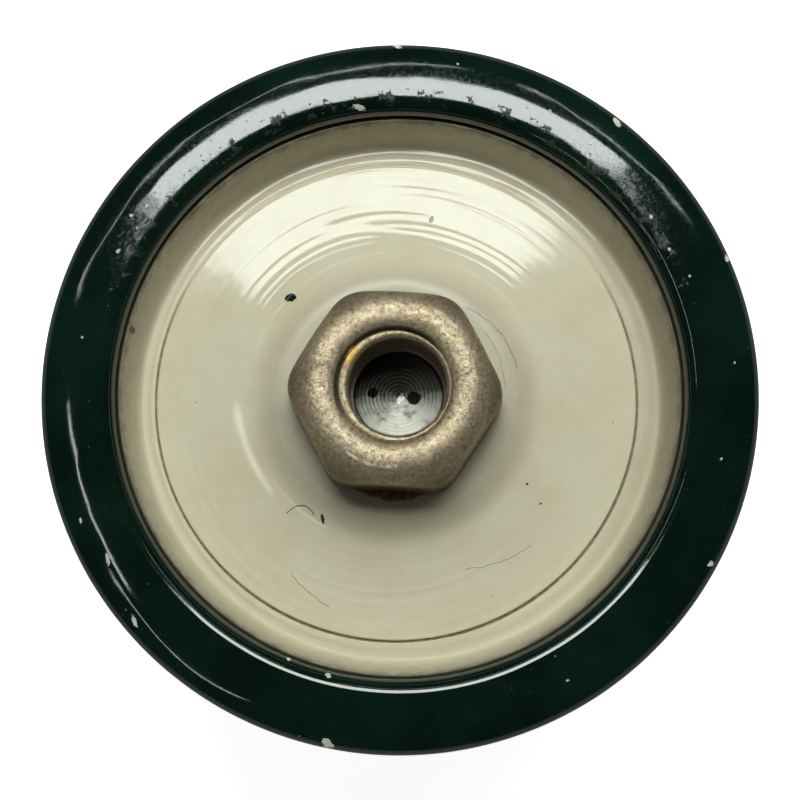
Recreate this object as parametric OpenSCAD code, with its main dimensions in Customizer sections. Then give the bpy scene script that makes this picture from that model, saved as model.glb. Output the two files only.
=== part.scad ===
// Pin insulator: a glazed bell, an inner shell and a flared core, held together by a hex-headed
// socket bush that screws into a sleeve set in the head. It lies on its crown, socket upwards.

/* [Shell] */
// Diameter of the bell over its rim
rim_d = 63; // [61:0.5:66]
// Height of the rim's crest above the crown
shell_h = 44; // [43.5:0.5:46]
// Diameter of the mouth inside the rim
mouth_d = 49.8; // [49.4:0.1:50.2]
// Diameter of the head
head_d = 38; // [37:0.5:40]
// Diameter at the root of the tie wire's groove
neck_d = 31; // [30:0.5:32]
// Diameter of the round conductor's channel across the crown
channel_w = 12; // [11:0.5:13]
// Depth of that channel
channel_depth = 5; // [4:0.25:5.5]

/* [Core] */
// Diameter of the flared core at its edge
core_d = 42.6; // [42:0.1:42.8]
// Diameter of the hub that the bush's head bears on
hub_d = 19.4; // [19:0.1:19.8]
// Distance of the rim's crest above the core's edge
core_drop = 5.4; // [4.8:0.1:5.8]
// Height of the hub above the core's edge
hub_rise = 2.6; // [2.4:0.1:2.8]
// Distance that the hand-set core and bush lie off the shell's axis
core_shift = 0.36; // [0:0.02:0.5]

/* [Bush] */
// Width of the hex head across its flats
hex_af = 17; // [16.8:0.1:17.2]
// Height of the hex head
hex_h = 6.2; // [5.8:0.1:6.6]
// Turn of the hex from its corners on the X axis, in degrees
hex_turn = -3; // [-30:1:30]
// Diameter of the socket for the pin, across the crests of its thread
socket_d = 8.5; // [8:0.1:8.6]
// Distance that the socket lies off the bush's axis
bore_shift = 0.28; // [0:0.02:0.3]
// Diameter of the bush's shank over its thread
shank_d = 14; // [13.8:0.1:14.2]
// Pitch of the thread between shank and sleeve
pitch = 1.5; // [1.5]
// Turns of that thread in mesh when the bush is tight
mesh_turns = 6; // [6]

/* [Anchor] */
// Diameter of the sleeve set in the head
sleeve_d = 18.4; // [18.2:0.1:18.8]
// Diameter of the hole in the head
pin_hole_d = 21.2; // [20.8:0.1:21.6]

/* [Fits] */
// Thickness of the cement and of the seals between the shells
cement_gap = 0.4; // [0.3:0.05:0.45]
// Gap between the rim and the inner shell's lip
rim_gap = 0.15; // [0.1:0.05:0.2]
// Gap between core and inner shell
seal_gap = 0.2; // [0.15:0.05:0.25]
// Radial clearance of the shank's thread in its sleeve
thread_fit = 0.05; // [0.03:0.01:0.08]
// Radial clearance of the shank in the core, the inner shell and the washer
shank_clearance = 0.4; // [0.3:0.05:0.45]

/* [Hidden] */
$fn = 72;
eps = 0.01;

rim_r = rim_d / 2;
mouth_r = mouth_d / 2;
head_r = head_d / 2;
neck_r = neck_d / 2;
core_r = core_d / 2;
hub_r = hub_d / 2;
shank_r = shank_d / 2;
socket_r = socket_d / 2;
sleeve_r = sleeve_d / 2;
pin_hole_r = pin_hole_d / 2;

// Heights above the crown
core_edge_z = shell_h - core_drop;
core_foot_z = core_edge_z - 6;
hub_z = core_edge_z + hub_rise;
washer_t = 0.4;
head_z = hub_z + washer_t;
face_z = head_z + hex_h;
dish_floor_z = core_foot_z - cement_gap;
dish_foot_z = dish_floor_z - 5;
cavity_floor_z = dish_foot_z - cement_gap;
pin_hole_z = 12;
cushion_t = 2;
sleeve_foot_z = pin_hole_z + cushion_t;
sleeve_top_z = cavity_floor_z - 0.4;
shank_foot_z = sleeve_top_z - mesh_turns * pitch;

// Rim: a broad domed face, a tight outer corner, a rounded inner corner, and the flare of the wall below
rim_face_r = 12;
rim_corner_r = 1.1;
rim_inner_r = 1.5;
rim_crest_r = mouth_r + rim_inner_r;
corner_c_r = rim_r - rim_corner_r;
corner_lean = asin((corner_c_r - rim_crest_r) / (rim_face_r - rim_corner_r));
corner_c_z = shell_h - rim_face_r + (rim_face_r - rim_corner_r) * cos(corner_lean);
flare = 12;
wall_top = [corner_c_r + rim_corner_r * cos(flare), corner_c_z - rim_corner_r * sin(flare)];
wall_lead = wall_top - 11 * [sin(flare), cos(flare)];

// Inner shell: its wall and lip, the valley behind the rim, and the ledge beside the core
wall_r = mouth_r - cement_gap;
lip_r = mouth_r - rim_gap;
lip_z = shell_h - 1.6;
rim_seat_z = lip_z - 2.4;
ledge_r = core_r + seal_gap;
ledge_z = core_edge_z - 0.35;
valley_r = core_r + 1.6;
valley_z = ledge_z - 0.18;
dish_side_z = core_foot_z + 1;
dish_foot_r = 20;
shank_hole_r = shank_r + shank_clearance;
seal_depth = 1.2;

// Core: where its steeper flank to the hub begins
flank_r = hub_r + 3.6;
flank_z = core_edge_z + 1.15;

// Bush: a domed ring of a face, a countersink, and the pocket of the stop plug
face_ring_r = 6.35;
face_edge_r = 8.3;
face_lip_r = 5.1;
lip_drop = 0.55;
countersink_r = 4.5;
socket_floor_z = face_z - 6.5;
plug_r = socket_r - 0.25;
plug_foot_z = socket_floor_z - 5.5;
dish_r = plug_r - 0.25;
dish_slope = 8;
sleeve_groove = 0.8;

// Points along a round arc, angles in degrees from the R axis, without its first point
function arc(c, r, from, to, n = 8) =
    [for (i = [1:n]) let (a = from + (to - from) * i / n) [c[0] + r * cos(a), c[1] + r * sin(a)]];

// Points along a cubic curve, without its first point
function curve(p, q, s, t, n = 10) =
    [for (i = [1:n]) let (u = i / n, v = 1 - u)
        v * v * v * p + 3 * v * v * u * q + 3 * v * u * u * s + u * u * u * t];

// Outside of the bell from the crown's centre to the rim's inner corner
function bell_outline() = concat(
    [[0, 0], [head_r - 5.5, 0]],
    curve([head_r - 5.5, 0], [head_r - 1.5, 0], [head_r, 2], [head_r, 5.5]),
    curve([head_r, 5.5], [head_r, 8.5], [neck_r, 8.3], [neck_r, 12.5]),
    curve([neck_r, 12.5], [neck_r, 16.7], [head_r - 0.5, 17], [head_r + 2.5, 18]),
    curve([head_r + 2.5, 18], [head_r + 7.5, 19.7], wall_lead, wall_top, 16),
    arc([corner_c_r, corner_c_z], rim_corner_r, -flare, 90 - corner_lean, 7),
    arc([rim_crest_r, shell_h - rim_face_r], rim_face_r, 90 - corner_lean, 90, 8),
    arc([rim_crest_r, shell_h - rim_inner_r], rim_inner_r, 90, 180, 8)
);

module outer_shell() {
    color("#0e2f28")
    difference() {
        rotate_extrude()
            polygon(concat(bell_outline(), [
                [mouth_r, dish_side_z - cement_gap],
                [dish_foot_r + cement_gap, cavity_floor_z],
                [pin_hole_r, cavity_floor_z],
                [pin_hole_r, pin_hole_z],
                [0, pin_hole_z]
            ]));
        translate([0, 0, channel_depth - channel_w / 2])
            rotate([90, 0, 0]) cylinder(d = channel_w, h = rim_d, center = true);
    }
}

module inner_shell() {
    color("#c3bea2")
    difference() {
        rotate_extrude()
            polygon(concat(
                [[0, dish_foot_z], [dish_foot_r, dish_foot_z], [wall_r, dish_side_z]],
                [[wall_r, rim_seat_z], [lip_r, rim_seat_z], [lip_r, lip_z]],
                curve([lip_r, lip_z], [lip_r - 0.85, lip_z - 1.2], [lip_r - 1.1, valley_z],
                    [valley_r, valley_z], 14),
                [[ledge_r - 2 * core_shift, ledge_z], [0, ledge_z]]
            ));
        translate([-core_shift, 0, dish_floor_z]) cylinder(r = ledge_r, h = shell_h);
        translate([-core_shift, 0, 0]) cylinder(r = shank_hole_r, h = shell_h);
    }
}

module core_cone() {
    edge_round = 0.2;
    color("#c8c4aa")
    translate([-core_shift, 0, 0])
    rotate_extrude()
        polygon(concat(
            [[shank_hole_r, core_foot_z], [core_r, core_foot_z], [core_r, core_edge_z - edge_round]],
            arc([core_r - edge_round, core_edge_z - edge_round], edge_round, 0, 90, 4),
            curve([core_r - edge_round, core_edge_z], [core_r - 3.2, core_edge_z + 0.2],
                [flank_r + 2.2, flank_z - 0.56], [flank_r, flank_z], 12),
            curve([flank_r, flank_z], [flank_r - 1.7, flank_z + 0.45],
                [hub_r + 1.6, hub_z], [hub_r, hub_z], 10),
            [[shank_hole_r, hub_z]]
        ));
}

// Neat cement between the bell and the inner shell
module shell_cement() {
    color("#8f8c84")
    difference() {
        rotate_extrude()
            polygon([
                [0, dish_foot_z],
                [dish_foot_r, dish_foot_z],
                [wall_r, dish_side_z],
                [wall_r, rim_seat_z],
                [mouth_r, rim_seat_z],
                [mouth_r, dish_side_z - cement_gap],
                [dish_foot_r + cement_gap, cavity_floor_z],
                [0, cavity_floor_z]
            ]);
        translate([-core_shift, 0, 0]) cylinder(r = shank_hole_r, h = shell_h);
    }
}

// Bitumen that closes the joint between rim and inner shell
module rim_seal() {
    depth = lip_z - rim_seat_z;
    color("#2b261d")
    translate([0, 0, rim_seat_z])
    difference() {
        cylinder(r = mouth_r, h = depth);
        translate([0, 0, -eps]) cylinder(r = lip_r, h = depth + 2 * eps);
    }
}

// Soft bed that the core is pulled down on
module core_bedding() {
    color("#7d7a70")
    translate([-core_shift, 0, dish_floor_z])
    difference() {
        cylinder(r = core_r, h = cement_gap);
        translate([0, 0, -eps]) cylinder(r = shank_hole_r, h = cement_gap + 2 * eps);
    }
}

// Bitumen in the joint around the core
module core_seal() {
    color("#4a4636")
    translate([-core_shift, 0, ledge_z - seal_depth])
    difference() {
        cylinder(r = ledge_r, h = seal_depth);
        translate([0, 0, -eps]) cylinder(r = core_r, h = seal_depth + 2 * eps);
    }
}

module hex_head() {
    rotate([0, 0, hex_turn])
    translate([0, 0, head_z])
        cylinder(d = hex_af / cos(30), h = hex_h, $fn = 6);
}

// Turned outline that rounds the hex's face and its foot, with the shank below
module turned_blank() {
    corner_r = hex_af / cos(30) / 2;
    rotate_extrude()
        polygon(concat(
            [[0, shank_foot_z], [shank_r - 0.9, shank_foot_z], [shank_r, shank_foot_z + 0.9]],
            [[shank_r, head_z], [corner_r - 0.9, head_z], [corner_r, head_z + 0.5]],
            [[corner_r, face_z - 3.4]],
            curve([corner_r, face_z - 3.4], [corner_r - 0.3, face_z - 2.4],
                [face_edge_r + 0.6, face_z - 1.7], [face_edge_r, face_z - 0.85], 8),
            curve([face_edge_r, face_z - 0.85], [face_edge_r - 0.45, face_z - 0.35],
                [face_ring_r + 0.8, face_z], [face_ring_r, face_z], 8),
            curve([face_ring_r, face_z], [face_ring_r - 0.6, face_z],
                [face_lip_r + 0.3, face_z - 0.2], [face_lip_r, face_z - 0.4], 8),
            [[face_lip_r, face_z - lip_drop], [0, face_z - lip_drop]]
        ));
}

module socket_bush() {
    color("#a8997c")
    translate([-core_shift, 0, 0])
    difference() {
        intersection() {
            turned_blank();
            union() {
                hex_head();
                translate([0, 0, shank_foot_z]) cylinder(r = shank_r, h = head_z - shank_foot_z + eps);
            }
        }
        translate([bore_shift, 0, face_z - lip_drop - (countersink_r - socket_r)])
            cylinder(r1 = socket_r, r2 = countersink_r + eps, h = countersink_r - socket_r + eps);
        translate([bore_shift, 0, socket_floor_z]) cylinder(r = socket_r, h = face_z - socket_floor_z);
        translate([bore_shift, 0, plug_foot_z]) cylinder(r = plug_r, h = socket_floor_z - plug_foot_z + eps);
    }
}

// Soft plug that the pin's end bears on, with a shallow turned dish
module stop_plug() {
    dish_h = dish_r * tan(dish_slope);
    color("#b9bcc0")
    translate([bore_shift - core_shift, 0, plug_foot_z])
    difference() {
        cylinder(r = plug_r, h = socket_floor_z - plug_foot_z);
        translate([0, 0, socket_floor_z - plug_foot_z - dish_h])
            cylinder(r1 = 0, r2 = dish_r, h = dish_h + eps);
    }
}

module hub_washer() {
    color("#3a2c20")
    translate([-core_shift, 0, hub_z])
    difference() {
        cylinder(r = hex_af / 2 + 0.9, h = washer_t);
        translate([0, 0, -eps]) cylinder(r = shank_hole_r, h = washer_t + 2 * eps);
    }
}

// Outline of the sleeve with the grooves that the cement keys into
module sleeve_blank(groove_count = 3) {
    span = (sleeve_top_z - sleeve_foot_z) / (2 * groove_count + 1);
    translate([0, 0, sleeve_foot_z])
    difference() {
        cylinder(r = sleeve_r, h = sleeve_top_z - sleeve_foot_z);
        for (i = [0:groove_count - 1])
            translate([0, 0, (2 * i + 1) * span])
            difference() {
                cylinder(r = sleeve_r + eps, h = span);
                cylinder(r = sleeve_r - sleeve_groove, h = span);
            }
    }
}

module anchor_sleeve() {
    color("#8a8d8f")
    translate([-core_shift, 0, 0])
    difference() {
        sleeve_blank();
        translate([0, 0, sleeve_foot_z - eps])
            cylinder(r = shank_r + thread_fit, h = sleeve_top_z - sleeve_foot_z + 2 * eps);
    }
}

module anchor_cement() {
    color("#8f8c84")
    difference() {
        translate([0, 0, sleeve_foot_z]) cylinder(r = pin_hole_r, h = sleeve_top_z - sleeve_foot_z);
        translate([-core_shift, 0, 0]) sleeve_blank();
        translate([-core_shift, 0, sleeve_foot_z - eps])
            cylinder(r = sleeve_r - 2 * sleeve_groove, h = sleeve_top_z - sleeve_foot_z + 2 * eps);
    }
}

module cushion_disc() {
    color("#a9835a")
    translate([0, 0, pin_hole_z])
        cylinder(r = pin_hole_r - 0.3, h = cushion_t);
}

outer_shell();
inner_shell();
core_cone();
shell_cement();
rim_seal();
core_bedding();
core_seal();
socket_bush();
stop_plug();
hub_washer();
anchor_sleeve();
anchor_cement();
cushion_disc();
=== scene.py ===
"""Looks of a small pin insulator lying on its crown: glazed shells, a hex-headed bush and their joints."""

import math

import bpy
import numpy as np
from mathutils import Matrix, Vector


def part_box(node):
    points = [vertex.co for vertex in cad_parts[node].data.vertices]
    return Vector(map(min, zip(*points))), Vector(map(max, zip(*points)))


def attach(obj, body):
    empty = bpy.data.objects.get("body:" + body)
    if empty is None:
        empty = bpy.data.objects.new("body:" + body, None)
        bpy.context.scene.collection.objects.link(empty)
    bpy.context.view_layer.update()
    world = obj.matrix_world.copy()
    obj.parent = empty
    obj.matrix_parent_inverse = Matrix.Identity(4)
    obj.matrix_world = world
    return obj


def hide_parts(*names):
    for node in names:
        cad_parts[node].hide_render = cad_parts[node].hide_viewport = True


bl_info = {
    "name": "Pin Insulator",
    "version": (1, 0, 0),
    "blender": (4, 5, 0),
    "location": "View3D > Sidebar > Insulator",
    "description": "Builds the glazed shells, the metal bush and the studio of a pin insulator",
    "category": "Object",
}

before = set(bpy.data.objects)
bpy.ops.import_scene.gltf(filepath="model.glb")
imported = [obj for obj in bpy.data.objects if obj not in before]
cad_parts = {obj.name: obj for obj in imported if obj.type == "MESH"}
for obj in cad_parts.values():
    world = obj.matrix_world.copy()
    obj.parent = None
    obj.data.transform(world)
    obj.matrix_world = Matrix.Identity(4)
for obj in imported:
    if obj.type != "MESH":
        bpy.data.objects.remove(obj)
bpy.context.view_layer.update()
MM = 0.001


def span(node):
    """(lowest, highest) corner of a CAD node as numpy arrays, in metres."""
    low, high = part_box(node)
    return np.array(low), np.array(high)


BELL_LOW, BELL_HIGH = span("outer_shell")
LINER_LOW, LINER_HIGH = span("inner_shell")
CORE_LOW, CORE_HIGH = span("core_cone")
RIM_SEAL_LOW, RIM_SEAL_HIGH = span("rim_seal")
CORE_SEAL_LOW, CORE_SEAL_HIGH = span("core_seal")
BUSH_LOW, BUSH_HIGH = span("socket_bush")
PLUG_LOW, PLUG_HIGH = span("stop_plug")
WASHER_LOW, WASHER_HIGH = span("hub_washer")
CEMENT_LOW, CEMENT_HIGH = span("anchor_cement")
CUSHION_LOW, CUSHION_HIGH = span("cushion_disc")
CORE_AXIS = (CORE_LOW[0] + CORE_HIGH[0]) / 2
PLUG_AXIS = (PLUG_LOW[0] + PLUG_HIGH[0]) / 2
SHANK_HOLE = 7.4 * MM


# Properties: sizes and colours that a user would change

def length(name, description, default):
    """A property for a length in metres."""
    return bpy.props.FloatProperty(
        name=name, description=description, default=default, unit="LENGTH", subtype="DISTANCE", precision=5)


def angle(name, description, degrees):
    """A property for an angle, given here in degrees."""
    return bpy.props.FloatProperty(
        name=name, description=description, default=math.radians(degrees), unit="ROTATION", subtype="ANGLE")


def colour(name, description, default):
    """A property for a linear colour."""
    return bpy.props.FloatVectorProperty(
        name=name, description=description, default=default, size=3, subtype="COLOR", min=0.0, max=1.0)


class InsulatorForm(bpy.types.PropertyGroup):
    """Sizes of the glazed shells and the bush."""

    head_radius: length("Head radius", "Radius of the head above the tie wire's groove", 19.0 * MM)
    neck_radius: length("Neck radius", "Radius at the root of the tie wire's groove", 15.5 * MM)
    channel_radius: length("Channel radius", "Radius of the conductor's channel across the crown", 6.0 * MM)
    channel_depth: length("Channel depth", "Depth of the conductor's channel", 5.0 * MM)
    face_radius: length("Rim face radius", "Radius of the rim's broad domed face", 12.0 * MM)
    corner_radius: length("Rim corner radius", "Radius of the rim's outer corner", 1.1 * MM)
    inner_radius: length("Rim inner radius", "Radius that rolls the rim into the mouth", 1.5 * MM)
    flare: angle("Flare", "Lean of the bell's wall below the rim", 12.0)
    hub_radius: length("Hub radius", "Radius of the hub that carries the bush", 9.7 * MM)
    hub_rise: length("Hub rise", "Height of the hub above the core's edge", 2.6 * MM)
    hex_flats: length("Hex across flats", "Width of the hex head across its flats", 17.0 * MM)
    hex_turn: angle("Hex turn", "Turn of the hex from its corners on the X axis", -3.0)
    socket_radius: length("Socket radius", "Radius of the pin's socket", 4.25 * MM)
    socket_depth: length("Socket depth", "Depth of the socket below the hex's face", 6.5 * MM)
    glaze_ripple: length("Glaze ripple", "Height of the long ripples in the glaze", 0.022 * MM)


class InsulatorFinish(bpy.types.PropertyGroup):
    """Colours of the finishes."""

    green: colour("Bottle green", "Glaze of the bell", (0.003, 0.017, 0.010))
    green_deep: colour("Deep green", "Glaze where it lies thickest", (0.0012, 0.009, 0.006))
    cream: colour("Cream", "Glaze of the core", (0.775, 0.733, 0.545))
    # A darker copy of the cream: painted shade of the recess under the rim, together with soiling.
    cream_shaded: colour("Weathered cream", "Glaze of the inner shell", (0.70, 0.66, 0.485))
    # Colour of soiling and specks, and also of painted shade in corners, round the hub, on the +X side and
    # low on the head.
    grime_and_shade: colour("Grime", "Dirt in corners and round the bush", (0.10, 0.075, 0.045))
    body: colour("Body", "Bare ceramic where the glaze is chipped", (0.72, 0.70, 0.62))
    nickel: colour("Nickel", "Plating of the bush", (0.76, 0.63, 0.44))
    brass: colour("Brass", "Metal under the worn plating", (0.72, 0.56, 0.28))
    aluminium: colour("Aluminium", "Turned stop plug, dulled by oxide", (0.18, 0.176, 0.152))
    bitumen: colour("Bitumen", "Seal inside the rim", (0.018, 0.018, 0.013))


class InsulatorStudio(bpy.types.PropertyGroup):
    """Camera and light."""

    elevation: angle("Elevation", "Height of the camera above the horizon", 81.65)
    azimuth: angle("Azimuth", "Turn of the camera round the insulator", 6.6)
    distance: length("Distance", "Distance of the camera from the rim", 0.28)
    view_width: length("View width", "Width that the camera sees in the plane of the rim", 0.07013)
    window_power: bpy.props.FloatProperty(
        name="Window", description="Radiance of the window light", default=9.8, min=0.0)
    strip_power: bpy.props.FloatProperty(
        name="Strips", description="Radiance of the narrow lights round it", default=7.0, min=0.0)
    fill_power: bpy.props.FloatProperty(
        name="Fill", description="Radiance of the soft fill light", default=4.2, min=0.0)


# Outlines: points (radius, height) in metres

def arc(centre, radius, start, end, count):
    """Points on a circle round centre from angle start to end, in degrees from the radius axis."""
    a = np.radians(np.linspace(start, end, count))
    return np.column_stack([centre[0] + radius * np.cos(a), centre[1] + radius * np.sin(a)])


def curve(p, q, s, t, count):
    """Cubic curve from p to t that leaves towards q and arrives from s."""
    u = np.linspace(0.0, 1.0, count)[:, None]
    v = 1.0 - u
    p, q, s, t = (np.array(point, dtype=float) for point in (p, q, s, t))
    return v ** 3 * p + 3 * v * v * u * q + 3 * v * u * u * s + u ** 3 * t


def line(p, q, count):
    """Evenly spaced points from p to q."""
    u = np.linspace(0.0, 1.0, count)[:, None]
    return (1.0 - u) * np.array(p, dtype=float) + u * np.array(q, dtype=float)


def outline(*parts):
    """The parts joined end to end, without the doubled points where they meet."""
    points = np.vstack(parts)
    step = np.linalg.norm(np.diff(points, axis=0), axis=1)
    return points[np.concatenate([[True], step > 1e-7])]


def run_length(points):
    """Distance along an outline at each of its points."""
    step = np.linalg.norm(np.diff(points, axis=0), axis=1)
    return np.concatenate([[0.0], np.cumsum(step)])


# Surfaces

def grid_mesh(name, points, closed):
    """A mesh from a grid of points, rows by turns by 3. Each row closes on itself. The rows close into a
    ring if closed is true; if not, the first and the last row each shrink to one point on the axis."""
    turns = points.shape[1]
    inner = points if closed else points[1:-1]
    count = inner.shape[0]
    vertices = inner.reshape(-1, 3)
    index = np.arange(count * turns).reshape(count, turns)
    below = index if closed else index[:-1]
    above = np.roll(index, -1, axis=0) if closed else index[1:]
    quads = np.stack([below, np.roll(below, -1, axis=1), np.roll(above, -1, axis=1), above], axis=-1)
    quads = quads.reshape(-1, 4)
    triangles = np.empty((0, 3), dtype=int)
    if not closed:
        first, last = len(vertices), len(vertices) + 1
        vertices = np.vstack([vertices, points[0].mean(axis=0), points[-1].mean(axis=0)])
        start, end = index[0], index[-1]
        fan = np.stack([np.full(turns, first), np.roll(start, -1), start], axis=-1)
        cap = np.stack([np.full(turns, last), end, np.roll(end, -1)], axis=-1)
        triangles = np.vstack([fan, cap])
    return finish_mesh(name, vertices, quads, triangles)


def signed_volume(vertices, quads, triangles):
    """Volume inside the faces, negative if they point inwards."""
    corners = np.vstack([quads[:, [0, 1, 2]], quads[:, [0, 2, 3]], triangles])
    a, b, c = (vertices[corners[:, i]] for i in range(3))
    return np.einsum("ij,ij->i", a, np.cross(b, c)).sum() / 6.0


def add_object(name, data):
    """A new object in the scene."""
    thing = bpy.data.objects.new(name, data)
    bpy.context.scene.collection.objects.link(thing)
    return thing


def finish_mesh(name, vertices, quads, triangles):
    """A smooth-shaded object from whole arrays of vertices and faces, with its faces turned outwards."""
    if signed_volume(vertices, quads, triangles) < 0:
        quads, triangles = quads[:, ::-1], triangles[:, ::-1]
    loops = np.concatenate([quads.ravel(), triangles.ravel()]).astype(np.int32)
    sizes = np.concatenate([np.full(len(quads), 4), np.full(len(triangles), 3)]).astype(np.int32)
    starts = np.concatenate([[0], np.cumsum(sizes)[:-1]]).astype(np.int32)
    mesh = bpy.data.meshes.new(name)
    mesh.vertices.add(len(vertices))
    mesh.vertices.foreach_set("co", vertices.astype(np.float32).ravel())
    mesh.loops.add(len(loops))
    mesh.loops.foreach_set("vertex_index", loops)
    mesh.polygons.add(len(sizes))
    mesh.polygons.foreach_set("loop_start", starts)
    mesh.polygons.foreach_set("use_smooth", np.ones(len(sizes), dtype=bool))
    mesh.update(calc_edges=True)
    mesh.validate()
    return add_object(name, mesh)


def turn_angles(turns):
    """Angles of the columns of a turned surface."""
    return np.linspace(0.0, 2.0 * math.pi, turns, endpoint=False)


def angle_from(degrees, phi):
    """Signed angle in radians from a direction given in degrees to the angles phi."""
    return np.mod(phi - math.radians(degrees) + math.pi, 2 * math.pi) - math.pi


def swept(axis_x, radius, phi, height):
    """Grid of the points at these radii, angles and heights round an upright axis."""
    return np.stack([axis_x + radius * np.cos(phi), radius * np.sin(phi), height], axis=-1)


def turned(points, turns, relief=None, axis_x=0.0):
    """Grid of an outline turned about an upright axis. relief lifts each point along the outline's normal:
    the outline's direction turned a quarter clockwise, which is outwards for an outline that climbs."""
    phi = turn_angles(turns)
    radius = np.repeat(points[:, :1], turns, axis=1)
    height = np.repeat(points[:, 1:], turns, axis=1)
    if relief is not None:
        direction = np.gradient(points, axis=0)
        direction /= np.linalg.norm(direction, axis=1)[:, None] + 1e-12
        radius = radius + direction[:, 1:] * relief
        height = height - direction[:, :1] * relief
    return swept(axis_x, radius, phi, height)


def ripples(along, turns, scale, waves):
    """Sum of waves over a turned surface: each is (height as a share of scale, wavelength along the outline
    in millimetres, lobes round the turn, lean of the wave in radians over one lobe)."""
    phi = turn_angles(turns)[None, :]
    along = along[:, None]
    total = np.zeros((along.shape[0], turns))
    for number, (height, wavelength, lobes, lean) in enumerate(waves):
        phase = 1.7 * number + lean * np.sin(lobes * phi + number)
        total += scale * height * np.sin(2.0 * math.pi * along / (wavelength * MM) + phase)
    return total


def soft_max(a, b, blend):
    """The larger of a and b, rounded off over a band of width blend."""
    share = np.clip(0.5 + 0.5 * (b - a) / blend, 0.0, 1.0)
    return a * (1.0 - share) + b * share + blend * share * (1.0 - share)


def soft_min(a, b, blend):
    """The smaller of a and b, rounded off over a band of width blend."""
    return -soft_max(-a, -b, blend)


def place(piece, body, slot, nodes, material):
    """Gives a finished piece its material, and stands it in the frame for the CAD nodes."""
    piece.data.materials.append(material)
    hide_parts(*nodes)
    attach(piece, body)


# Material nodes

class Shader:
    """A new material with a Principled shader, and short calls for the nodes that feed it."""

    def __init__(self, name, roughness=0.4, metallic=0.0, ior=1.5):
        self.material = bpy.data.materials.new(name)
        self.material.use_nodes = True
        self.tree = self.material.node_tree
        self.tree.nodes.clear()
        output = self.tree.nodes.new("ShaderNodeOutputMaterial")
        self.surface = self.tree.nodes.new("ShaderNodeBsdfPrincipled")
        self.tree.links.new(self.surface.outputs["BSDF"], output.inputs["Surface"])
        self.surface.inputs["Roughness"].default_value = roughness
        self.surface.inputs["Metallic"].default_value = metallic
        self.surface.inputs["IOR"].default_value = ior
        self.place = self.tree.nodes.new("ShaderNodeTexCoord").outputs["Object"]

    def feed(self, socket, value):
        """Links an output to a socket, or sets a constant on it."""
        if isinstance(value, bpy.types.NodeSocket):
            self.tree.links.new(value, socket)
        elif isinstance(value, (tuple, list)) or hasattr(value, "__len__"):
            numbers = tuple(value)
            socket.default_value = numbers + (1.0,) if len(socket.default_value) == 4 else numbers
        else:
            socket.default_value = value

    def set(self, **inputs):
        """Feeds the Principled shader's inputs, with _ for each space in a name."""
        for name, value in inputs.items():
            self.feed(self.surface.inputs[name.replace("_", " ")], value)

    def maths(self, operation, a, b=0.0, c=0.0):
        """One Math node."""
        node = self.tree.nodes.new("ShaderNodeMath")
        node.operation = operation
        for socket, value in zip(node.inputs, (a, b, c)):
            self.feed(socket, value)
        return node.outputs[0]

    def mapped(self, centre=(0.0, 0.0, 0.0), scale=(1.0, 1.0, 1.0), turn=0.0):
        """Object coordinates about a centre in metres, along axes turned about the upright one and divided by
        scale. A scale of 0 leaves that coordinate out."""
        shift = self.tree.nodes.new("ShaderNodeVectorMath")
        shift.operation = "SUBTRACT"
        self.feed(shift.inputs[0], self.place)
        self.feed(shift.inputs[1], centre)
        node = self.tree.nodes.new("ShaderNodeMapping")
        node.vector_type = "TEXTURE"
        self.feed(node.inputs["Vector"], shift.outputs[0])
        node.inputs["Rotation"].default_value = (0.0, 0.0, turn)
        node.inputs["Scale"].default_value = scale
        return node.outputs[0]

    def noise(self, size, detail=4.0, roughness=0.6, vector=None, distortion=0.0):
        """Noise from 0 to 1 whose features are about size metres across."""
        node = self.tree.nodes.new("ShaderNodeTexNoise")
        self.feed(node.inputs["Vector"], self.place if vector is None else vector)
        node.inputs["Scale"].default_value = 1.0 / size
        node.inputs["Detail"].default_value = detail
        node.inputs["Roughness"].default_value = roughness
        node.inputs["Distortion"].default_value = distortion
        return node.outputs[0]

    def speckle(self, size, radius, keep):
        """1 in small round spots: cells size metres across hold one spot each, and keep is the share of
        cells that show theirs. radius is the spot's share of its cell."""
        node = self.tree.nodes.new("ShaderNodeTexVoronoi")
        self.feed(node.inputs["Vector"], self.place)
        node.inputs["Scale"].default_value = 1.0 / size
        near = self.ramp(node.outputs["Distance"], radius * 0.7, radius, 1.0, 0.0)
        shown = self.maths("LESS_THAN", self.channel(node.outputs["Color"]), keep)
        return self.maths("MULTIPLY", near, shown)

    def channel(self, colour_output):
        """The red channel of a colour."""
        node = self.tree.nodes.new("ShaderNodeSeparateColor")
        self.feed(node.inputs[0], colour_output)
        return node.outputs[0]

    def ramp(self, value, low, high, at_low=0.0, at_high=1.0):
        """value eased from at_low at low to at_high at high."""
        node = self.tree.nodes.new("ShaderNodeMapRange")
        node.interpolation_type = "SMOOTHSTEP"
        for name, number in (("From Min", low), ("From Max", high), ("To Min", at_low), ("To Max", at_high)):
            node.inputs[name].default_value = number
        self.feed(node.inputs["Value"], value)
        return node.outputs[0]

    def mix(self, share, a, b):
        """Colour a where share is 0 and b where it is 1."""
        node = self.tree.nodes.new("ShaderNodeMix")
        node.data_type = "RGBA"
        self.feed(node.inputs["Factor"], share)
        self.feed(node.inputs[6], a)
        self.feed(node.inputs[7], b)
        return node.outputs[2]

    def from_axis(self, axis_x):
        """Distance from an upright axis."""
        return self.size_of(self.mapped(centre=(axis_x, 0.0, 0.0), scale=(1.0, 1.0, 0.0)))

    def along(self, axis, vector=None):
        """A vector's coordinate along one axis, 0 for X, 1 for Y and 2 for Z."""
        node = self.tree.nodes.new("ShaderNodeSeparateXYZ")
        self.feed(node.inputs[0], self.place if vector is None else vector)
        return node.outputs[axis]

    def size_of(self, vector):
        """Length of a vector."""
        node = self.tree.nodes.new("ShaderNodeVectorMath")
        node.operation = "LENGTH"
        self.feed(node.inputs[0], vector)
        return node.outputs["Value"]

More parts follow.
